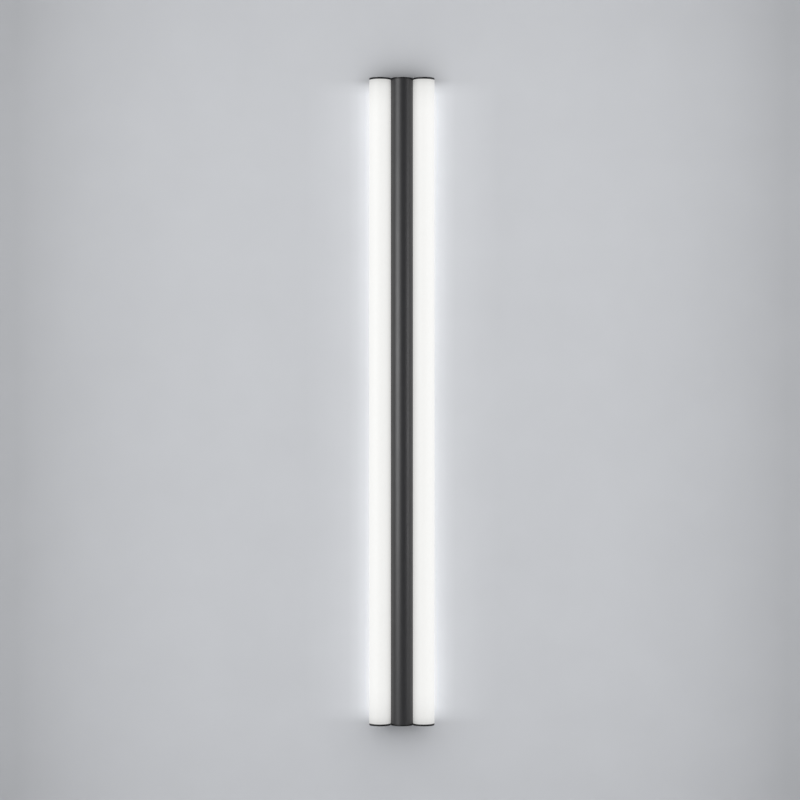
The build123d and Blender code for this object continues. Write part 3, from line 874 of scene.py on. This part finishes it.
# ---- Sub-assemblies
@dataclass
class BodyTube:
    """The dark extrusion between the light tubes, open to the rear."""

    shop: Workshop
    tube_radius: float = 20 * MM
    tube_pitch: float = 40.5 * MM
    tube_depth: float = 35 * MM
    gap: float = 0.5 * MM
    wall: float = 2 * MM

    def build(self) -> None:
        """Make the extrusion with true round surfaces."""
        arcs = [Arc(0, -self.tube_depth, self.tube_radius - inset) for inset in (0.0, self.wall)]
        for x in (-self.tube_pitch, self.tube_pitch):
            arcs.append(Arc(x, -self.tube_depth, self.tube_radius + self.gap))
        self.shop.piece("body_profile", "graphite_extrusion", COAT, bevel=0.12 * MM, arcs=arcs)


@dataclass
class LightTube:
    """One opal tube with its boards, light chips and connectors inside."""

    shop: Workshop
    side_name: str
    side: int
    tube_radius: float = 20 * MM
    tube_wall: float = 1.8 * MM
    tube_pitch: float = 40.5 * MM
    tube_depth: float = 35 * MM
    slot_turn: float = radians(30)
    chip_rim: float = 0.35 * MM
    chip_recess: float = 0.12 * MM

    @property
    def slot_direction(self) -> Span:
        """Direction from the tube's axis out through its slot."""
        return -self.side * cos(self.slot_turn), sin(self.slot_turn)

    def build(self) -> None:
        """Make the diffuser, the boards and the chips."""
        x, side = self.side * self.tube_pitch, self.side_name
        opal = OpalFinish(
            f"{side}_opal_acrylic", "opal_acrylic", (0.3, 0.3, 0.296), (0.29, 0.29, 0.285),
            (0.34, 0.34, 0.335), roughness=0.5, roughness_change=0.03, specular=0.09, grain_scale=1800.0,
            grain_depth=0.006, wear=0.1, dust=0.03, axis_x=x, axis_y=-self.tube_depth,
            slot_direction=self.slot_direction, half_length=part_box(f"{side}_diffuser")[1][2],
        )
        arcs = [Arc(x, -self.tube_depth, self.tube_radius - inset) for inset in (0.0, self.tube_wall)]
        self.shop.piece(f"{side}_diffuser", f"{side}_opal_tube", opal, bevel=0.2 * MM, arcs=arcs)
        for level in ("upper", "lower"):
            place = f"{level}_{side}"
            self.shop.piece(f"{place}_board", f"{place}_light_board", BOARD, bevel=0.1 * MM)
            chips = f"{place}_light_chips"
            self.shop.piece(
                f"{place}_leds", chips, LED_FRAME, PHOSPHOR, bevel=0.0, detail=self.recess_chips
            )

    def recess_chips(self, shell: Shell) -> None:
        """Sink the phosphor window into the face of each chip that looks away from the slot.

        Args:
            shell: The chips' mesh.
        """
        outward = Vector((*self.slot_direction, 0.0))
        fronts = [face for face in shell.faces if face.normal.dot(outward) < -FLAT]
        for face in sink(shell, fronts, self.chip_rim, 0.1 * self.chip_rim, self.chip_recess):
            face.material_index = 0
        for face in fronts:
            face.material_index = 1


@dataclass
class BoardConnectors:
    """The connectors that join the boards and bring their supply."""

    shop: Workshop
    rim: float = 0.7 * MM
    slope: float = 0.02 * MM
    recess: float = 0.6 * MM

    def build(self) -> None:
        """Make both sets of connectors."""
        for use in ("link", "feed"):
            sockets = f"board_{use}_sockets"
            self.shop.piece(
                f"{use}_connectors", sockets, NYLON, bevel=0.12 * MM, detail=self.open_ends
            )

    def open_ends(self, shell: Shell) -> None:
        """Sink a mouth into both ends of each connector."""
        ends = [face for face in shell.faces if abs(face.normal.z) > FLAT]
        sink(shell, ends, self.rim, self.slope, self.recess)


@dataclass
class EndCap:
    """Plate, gasket and screws at one end."""

    shop: Workshop
    end_name: str

    def build(self) -> None:
        """Make the plate, its gasket and its screws."""
        end = self.end_name
        self.shop.piece(f"{end}_end_plate", f"{end}_cover_plate", PLATE_COAT, bevel=0.08 * MM)
        self.shop.piece(f"{end}_gasket", f"{end}_cover_gasket", RUBBER, bevel=0.0)
        self.shop.piece(f"{end}_end_screws", f"{end}_socket_screws", BLACK_SCREW, bevel=0.06 * MM)


@dataclass
class HexScrews:
    """A set of hexagon screws with chamfered heads and a flange, in place of plain ones."""

    shop: Workshop
    node: str
    name: str
    finish: Finish = ZINC_SCREW
    thread: float = 1.5 * MM
    across_corners: float = 2.8 * MM
    head: float = 1.9 * MM
    outward: float = 1.0
    flange_height: float = 0.5 * MM
    flange_spread: float = 1.12
    crown: float = 0.82
    chamfer: float = 0.8
    bevel: float = 0.05 * MM
    segments: int = 40

    def build(self) -> None:
        """Make every screw at the middle of the plain one that it replaces."""
        plain = self.shop.solid(self.node)
        places = [self.seat_of(group) for group in islands(plain)]
        plain.free()
        screws = bmesh.new()
        for seat, tip in places:
            self.add_screw(screws, seat, tip)
        bmesh.ops.recalc_face_normals(screws, faces=screws.faces)
        self.shop.keep(screws, self.node, self.name, self.finish)

    def seat_of(self, faces: Sequence[Face]) -> tuple[Vector, float]:
        """Find where one plain screw sits.

        Args:
            faces: The plain screw's faces.

        Returns:
            The middle of its head's seat, and the depth at which its thread ends.
        """
        corners = [vert.co for face in faces for vert in face.verts]
        depths = [corner.y for corner in corners]
        crown, tip = (max(depths), min(depths)) if self.outward > 0 else (min(depths), max(depths))
        middle = [(min(values) + max(values)) / 2 for values in zip(*[(c.x, c.z) for c in corners])]
        return Vector((middle[0], crown - self.outward * self.head, middle[1])), tip

    def add_screw(self, screws: Shell, seat: Vector, tip: float) -> None:
        """Add one screw.

        Args:
            screws: The mesh that it joins.
            seat: The middle of the head's seat.
            tip: The depth at which the thread ends.
        """
        turn = Matrix.Rotation(-self.outward * pi / 2, 4, "X")
        flange, wide, crown = self.flange_height, self.across_corners, self.head * self.crown
        levels = (
            (6, wide, wide, flange, crown),
            (6, wide, self.chamfer * wide, crown, self.head),
            (self.segments, self.flange_spread * wide, wide, 0.0, flange),
            (self.segments, self.thread, self.thread, -abs(tip - seat.y), 0.0),
        )
        for sides, low, high, start, stop in levels:
            ring = bmesh.ops.create_cone(
                screws, cap_ends=True, segments=sides, radius1=low, radius2=high, depth=stop - start,
                matrix=Matrix.Translation(seat) @ turn @ Matrix.Translation((0, 0, (start + stop) / 2)),
            )
            edges = {edge for vert in ring["verts"] for edge in vert.link_edges}
            soften(screws, hard_edges(edges), self.bevel)


@dataclass
class GearTray:
    """The sheet tray with its bush and the light driver on its front."""

    shop: Workshop
    label_rim: float = 3 * MM
    label_slope: float = 0.2 * MM
    label_recess: float = 0.25 * MM

    def build(self) -> None:
        """Make the tray and what it carries."""
        self.shop.piece("gear_tray", "sheet_gear_tray", MILL_ALUMINIUM, bevel=0.12 * MM)
        self.shop.piece("tray_bush", "wire_bush", RUBBER, bevel=0.2 * MM)
        self.shop.piece(
            "driver_case", "light_driver_case", CASE_PLASTIC, bevel=0.35 * MM, detail=self.sink_label
        )
        self.shop.piece("driver_terminals", "light_driver_terminals", TERMINAL_PLASTIC, bevel=0.2 * MM)
        HexScrews(self.shop, "driver_screws", "driver_hex_screws", outward=-1.0).build()

    def sink_label(self, shell: Shell) -> None:
        """Sink the bare label field into the driver's front face."""
        front = min(shell.faces, key=lambda face: face.calc_center_median().y)
        sink(shell, [front], self.label_rim, self.label_slope, self.label_recess)


@dataclass
class MainsTerminal:
    """The mains terminal on the tray's rear face, with its release buttons."""

    shop: Workshop
    button_rim: float = 0.8 * MM
    button_recess: float = 0.3 * MM

    def build(self) -> None:
        """Make the block, the buttons, the springs and the screws."""
        self.shop.piece("terminal_block", "mains_terminal_block", TERMINAL_PLASTIC, bevel=0.18 * MM)
        for pole in ("live", "neutral", "earth"):
            button = f"{pole}_press_button"
            self.shop.piece(
                f"{pole}_button", button, BUTTON_PLASTIC, bevel=0.12 * MM, detail=self.dish_button
            )
        self.shop.piece("terminal_springs", "clamp_springs", SPRING, bevel=0.04 * MM)
        HexScrews(self.shop, "terminal_screws", "terminal_hex_screws").build()
        HexScrews(self.shop, "earth_screw", "earth_hex_screw", BRASS).build()

    def dish_button(self, shell: Shell) -> None:
        """Sink the finger face of a button."""
        top = max(shell.faces, key=lambda face: face.calc_center_median().y)
        sink(shell, [top], self.button_rim, self.button_recess, self.button_recess, even=True)


@dataclass
class HangingGear:
    """The wall rail with its grommet, and the brackets that hang on its hooks."""

    shop: Workshop

    def build(self) -> None:
        """Make the rail, the grommet, the brackets and their screws."""
        self.shop.piece("wall_rail", "galvanised_wall_rail", ZINC_SHEET)
        self.shop.piece("cable_grommet", "supply_grommet", RUBBER, bevel=0.3 * MM)
        for level in ("upper", "lower"):
            self.shop.piece(f"{level}_hang_bracket", f"{level}_sheet_bracket", ZINC_SHEET)
        HexScrews(
            self.shop, "hang_bracket_screws", "bracket_hex_screws",
            thread=2 * MM, across_corners=3.8 * MM, head=2.4 * MM,
        ).build()


@dataclass
class Wiring:
    """The leads inside the body."""

    shop: Workshop
    lug_height: float = 80 * MM
    end_angle: float = radians(70)

    def build(self) -> None:
        """Make the mains leads, the earth lead and the light leads."""
        mains = LIVE_INSULATION, NEUTRAL_INSULATION
        self.round_leads("mains_leads", "mains_wires", mains, self.by_solid)
        self.round_leads("earth_lead", "earth_wire", (EARTH_INSULATION, TINNED), self.by_height)
        low = RED_INSULATION, BLACK_INSULATION
        self.round_leads("led_leads", "light_wires", low, self.by_solid)

    def round_leads(self, node: str, name: str, finishes: Sequence[Finish], sort: Detailer) -> None:
        """Make leads round by one subdivision.

        Args:
            node: The node that they replace.
            name: The piece's name.
            finishes: Their finishes.
            sort: Gives each face its finish.
        """
        shell = self.shop.solid(node)
        bmesh.ops.join_triangles(
            shell, faces=shell.faces, angle_face_threshold=radians(30), angle_shape_threshold=radians(60)
        )
        sort(shell)
        creases = shell.edges.layers.float.new("crease_edge")
        for edge in shell.edges:
            edge[creases] = float(edge.calc_face_angle(0.0) > self.end_angle)
        piece = self.shop.keep(shell, node, name, *finishes)
        smooth = piece.modifiers.new("round", "SUBSURF")
        smooth.levels = 1
        smooth.render_levels = 1

    def by_solid(self, shell: Shell) -> None:
        """Give every second lead the second finish."""
        for number, group in enumerate(islands(shell)):
            for face in group:
                face.material_index = number % 2

    def by_height(self, shell: Shell) -> None:
        """Give the metal lug at the lead's upper end the second finish."""
        for face in shell.faces:
            face.material_index = int(face.calc_center_median().z > self.lug_height)


# ---- Studio
@dataclass(frozen=True)
class Lamp:
    """A soft area lamp that looks at the middle of the light and shows only in its gloss."""

    name: str
    place: Colour
    width: float
    height: float
    power: float

    def build(self) -> None:
        """Hang the lamp."""
        data = bpy.data.lights.new(self.name, "AREA")
        data.shape = "RECTANGLE"
        data.size = self.width
        data.size_y = self.height
        data.energy = self.power
        lamp = bpy.data.objects.new(self.name, data)
        lamp.location = self.place
        lamp.rotation_euler = (-Vector(self.place)).to_track_quat("-Z", "Y").to_euler()
        lamp.visible_camera = False
        lamp.visible_diffuse = False
        bpy.context.scene.collection.objects.link(lamp)


@dataclass
class Studio:
    """Pale wall, pale floor, soft lamps and the camera."""

    wall_colour: Colour = (0.606, 0.619, 0.645)
    wall_mottle: Span = (0.985, 1.01)
    wall_texture: float = 0.2 * MM
    wall_half: float = 4.0
    wall_setback: float = 0.5 * MM
    floor_height: float = -0.95
    floor_half: float = 7.0
    floor_colours: tuple[Colour, Colour] = ((0.72, 0.72, 0.725), (0.76, 0.76, 0.76))
    matt_specular: float = 0.1
    room_levels: Span = (1.08, 1.12)
    backdrop_colour: Colour = (0.56, 0.572, 0.595)
    near_reach: float = 60 * MM
    # Painted light and shade on the wall: the tubes' glow beside them, the lamps' fall-off towards its
    # edges and the light's shadow past its ends.
    light_half: float = 60.5 * MM
    light_height: float = 1.2
    falls: Span = (0.9, 0.22)
    fall_power: float = 4.0
    fall_reach: float = 0.72
    shade_depths: Span = (0.2, 0.63)
    shade_reach: float = 16 * MM
    shade_core: float = 10 * MM
    shade_widths: Span = (58 * MM, 100 * MM)
    glow_reach: float = 0.12
    glow_beside: Stops = (
        (0.0, 0.8), (0.02, 0.73), (0.08, 0.5), (0.2, 0.27), (0.33, 0.14), (0.45, 0.1), (0.7, 0.04),
        (1.0, 0.0),
    )
    glow_along: Stops = (
        (0.0, 0.73), (0.37, 0.87), (0.52, 1.0), (0.572, 0.97), (0.588, 0.6), (0.6, 0.0),
    )
    camera_place: Colour = (-0.0035, -4.435, 0.003)
    lens: float = 106.7
    lamps: tuple[Lamp, ...] = (
        Lamp("left_softbox", (-2.1, -2.1, 0.22), 2.2, 1.3, 117.0),
        Lamp("right_softbox", (2.8, -0.9, 0.1), 1.6, 1.3, 44.0),
    )

    def build(self) -> None:
        """Set up everything that isn't part of the light."""
        self.build_world()
        self.build_wall()
        self.build_floor()
        for lamp in self.lamps:
            lamp.build()
        self.build_camera()
        bpy.context.scene.view_settings.view_transform = "Standard"

    def build_world(self) -> None:
        """Light the pieces from a pale room; rays that look see the backdrop's colour."""
        world = bpy.data.worlds.new("pale_room")
        world.use_nodes = True
        graph = Graph(world.node_tree)
        direction = graph.node("TexCoord").outputs["Generated"]
        upward = graph.node("SeparateXYZ", {0: direction}).outputs["Z"]
        level = graph.remap(upward, (-1.0, 1.0), self.room_levels)
        path = graph.node("LightPath").outputs
        mirrored = graph.math("MAXIMUM", path["Is Glossy Ray"], path["Is Transmission Ray"])
        seen = graph.math("MAXIMUM", path["Is Camera Ray"], mirrored)
        background = graph.tree.nodes["Background"]
        graph.feed(background.inputs["Color"], graph.mix(seen, graph.grey(level), self.backdrop_colour))
        background.inputs["Strength"].default_value = 1.0
        bpy.context.scene.world = world

    def plane(self, name: str, half: float, matrix: Matrix, material: Material) -> None:
        """Add a flat backdrop.

        Args:
            name: Its name.
            half: Half its side.
            matrix: Where it stands.
            material: Its material.
        """
        sheet = bmesh.new()
        bmesh.ops.create_grid(sheet, x_segments=1, y_segments=1, size=half)
        bmesh.ops.transform(sheet, matrix=matrix, verts=sheet.verts)
        mesh = bpy.data.meshes.new(name)
        sheet.to_mesh(mesh)
        sheet.free()
        mesh.materials.append(material)
        backdrop = bpy.data.objects.new(name, mesh)
        bpy.context.scene.collection.objects.link(backdrop)

    def build_wall(self) -> None:
        """Stand the wall behind the light; from behind it can't be seen and casts no shadow."""
        material, graph, shader = start_material("painted_wall", self.matt_specular)
        shader.inputs["Roughness"].default_value = 0.9
        mottle = graph.remap(graph.noise(9.0, detail=4.0), NOISE_SPAN, self.wall_mottle)
        lit = graph.tint(graph.grey(mottle), self.wall_shading(graph))
        graph.feed(shader.inputs["Base Color"], graph.tint(lit, self.wall_colour))
        texture = graph.bump(graph.noise(700.0, detail=5.0), self.wall_texture, strength=0.3)
        graph.feed(shader.inputs["Normal"], texture)
        path = graph.node("LightPath")
        near = graph.math("LESS_THAN", path.outputs["Ray Length"], self.near_reach)
        unseen = graph.times(near, graph.math("SUBTRACT", 1.0, path.outputs["Is Camera Ray"]))
        behind = graph.node("NewGeometry").outputs["Backfacing"]
        unshaded = graph.math("MAXIMUM", unseen, path.outputs["Is Shadow Ray"])
        graph.clear_where(shader, graph.math("MAXIMUM", behind, unshaded))
        stand = Matrix.Translation((0, self.wall_setback, self.floor_height + self.wall_half))
        self.plane("room_wall", self.wall_half, stand @ Matrix.Rotation(pi / 2, 4, "X"), material)

    def wall_shading(self, graph: Graph) -> Socket:
        """Paint on the wall the tubes' glow beside them, the light's shadow past its ends and the lamps'
        fall-off at its edges.

        Args:
            graph: The wall's graph.

        Returns:
            The share of the wall's colour, as a grey.
        """
        x, _, z = graph.position()
        across = graph.math("ABSOLUTE", x)
        along = graph.math("ABSOLUTE", z)
        # Painted fall-off of the lamps' light towards the wall's edges.
        falls = []
        for distance, strength in zip((across, along), self.falls):
            held = graph.math("MINIMUM", distance, self.fall_reach)
            falls.append(graph.times(graph.math("POWER", held, self.fall_power), strength))
        edges = graph.math("SUBTRACT", 1.0, graph.math("ADD", *falls))
        # Painted glow of the tubes on the wall beside them.
        beside = graph.remap(across, (self.light_half, self.light_half + self.glow_reach))
        fading = graph.ramp(beside, self.glow_beside)
        glow = graph.times(fading, graph.ramp(along, self.glow_along))
        # Painted shadow of the light on the wall past its ends, deeper above the top end.
        past_end = graph.math("ABSOLUTE", graph.math("SUBTRACT", along, self.light_height / 2))
        near_end = graph.math("POWER", e, graph.math("DIVIDE", past_end, -self.shade_reach))
        ends = (-self.light_height / 2, self.light_height / 2)
        width = graph.remap(z, ends, self.shade_widths)
        near_axis = graph.remap(across, (self.shade_core, width), (1.0, 0.0), smooth=True)
        depth = graph.remap(z, ends, self.shade_depths)
        shade = graph.times(graph.times(near_end, near_axis), depth)
        return graph.grey(graph.math("SUBTRACT", graph.math("ADD", edges, glow), shade))

    def build_floor(self) -> None:
        """Lay the pale floor; from below it can't be seen."""
        material, graph, shader = start_material("pale_floor", self.matt_specular)
        shader.inputs["Roughness"].default_value = 0.7
        cloud = graph.noise(3.0, detail=4.0)
        graph.feed(shader.inputs["Base Color"], graph.mix(cloud, *self.floor_colours))
        graph.clear_where(shader, graph.node("NewGeometry").outputs["Backfacing"])
        lying = Matrix.Translation((0, 0, self.floor_height))
        self.plane("pale_floor", self.floor_half, lying, material)

    def build_camera(self) -> None:
        """Place the camera level, straight in front of the light."""
        data = bpy.data.cameras.new("camera")
        data.lens = self.lens
        data.sensor_width = 36.0
        camera = bpy.data.objects.new("camera", data)
        camera.location = self.camera_place
        camera.rotation_euler = (pi / 2, 0, 0)
        bpy.context.scene.collection.objects.link(camera)
        bpy.context.scene.camera = camera


def main() -> None:
    """Dress the light and set up the studio."""
    logging.basicConfig(level=logging.INFO, format="%(name)s: %(message)s")
    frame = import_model()
    shop = Workshop(frame)
    BodyTube(shop).build()
    for side_name, side in (("left", -1), ("right", 1)):
        LightTube(shop, side_name, side).build()
    BoardConnectors(shop).build()
    for end_name in ("top", "bottom"):
        EndCap(shop, end_name).build()
    GearTray(shop).build()
    MainsTerminal(shop).build()
    HangingGear(shop).build()
    Wiring(shop).build()
    Studio().build()


if __name__ == "__main__":
    main()
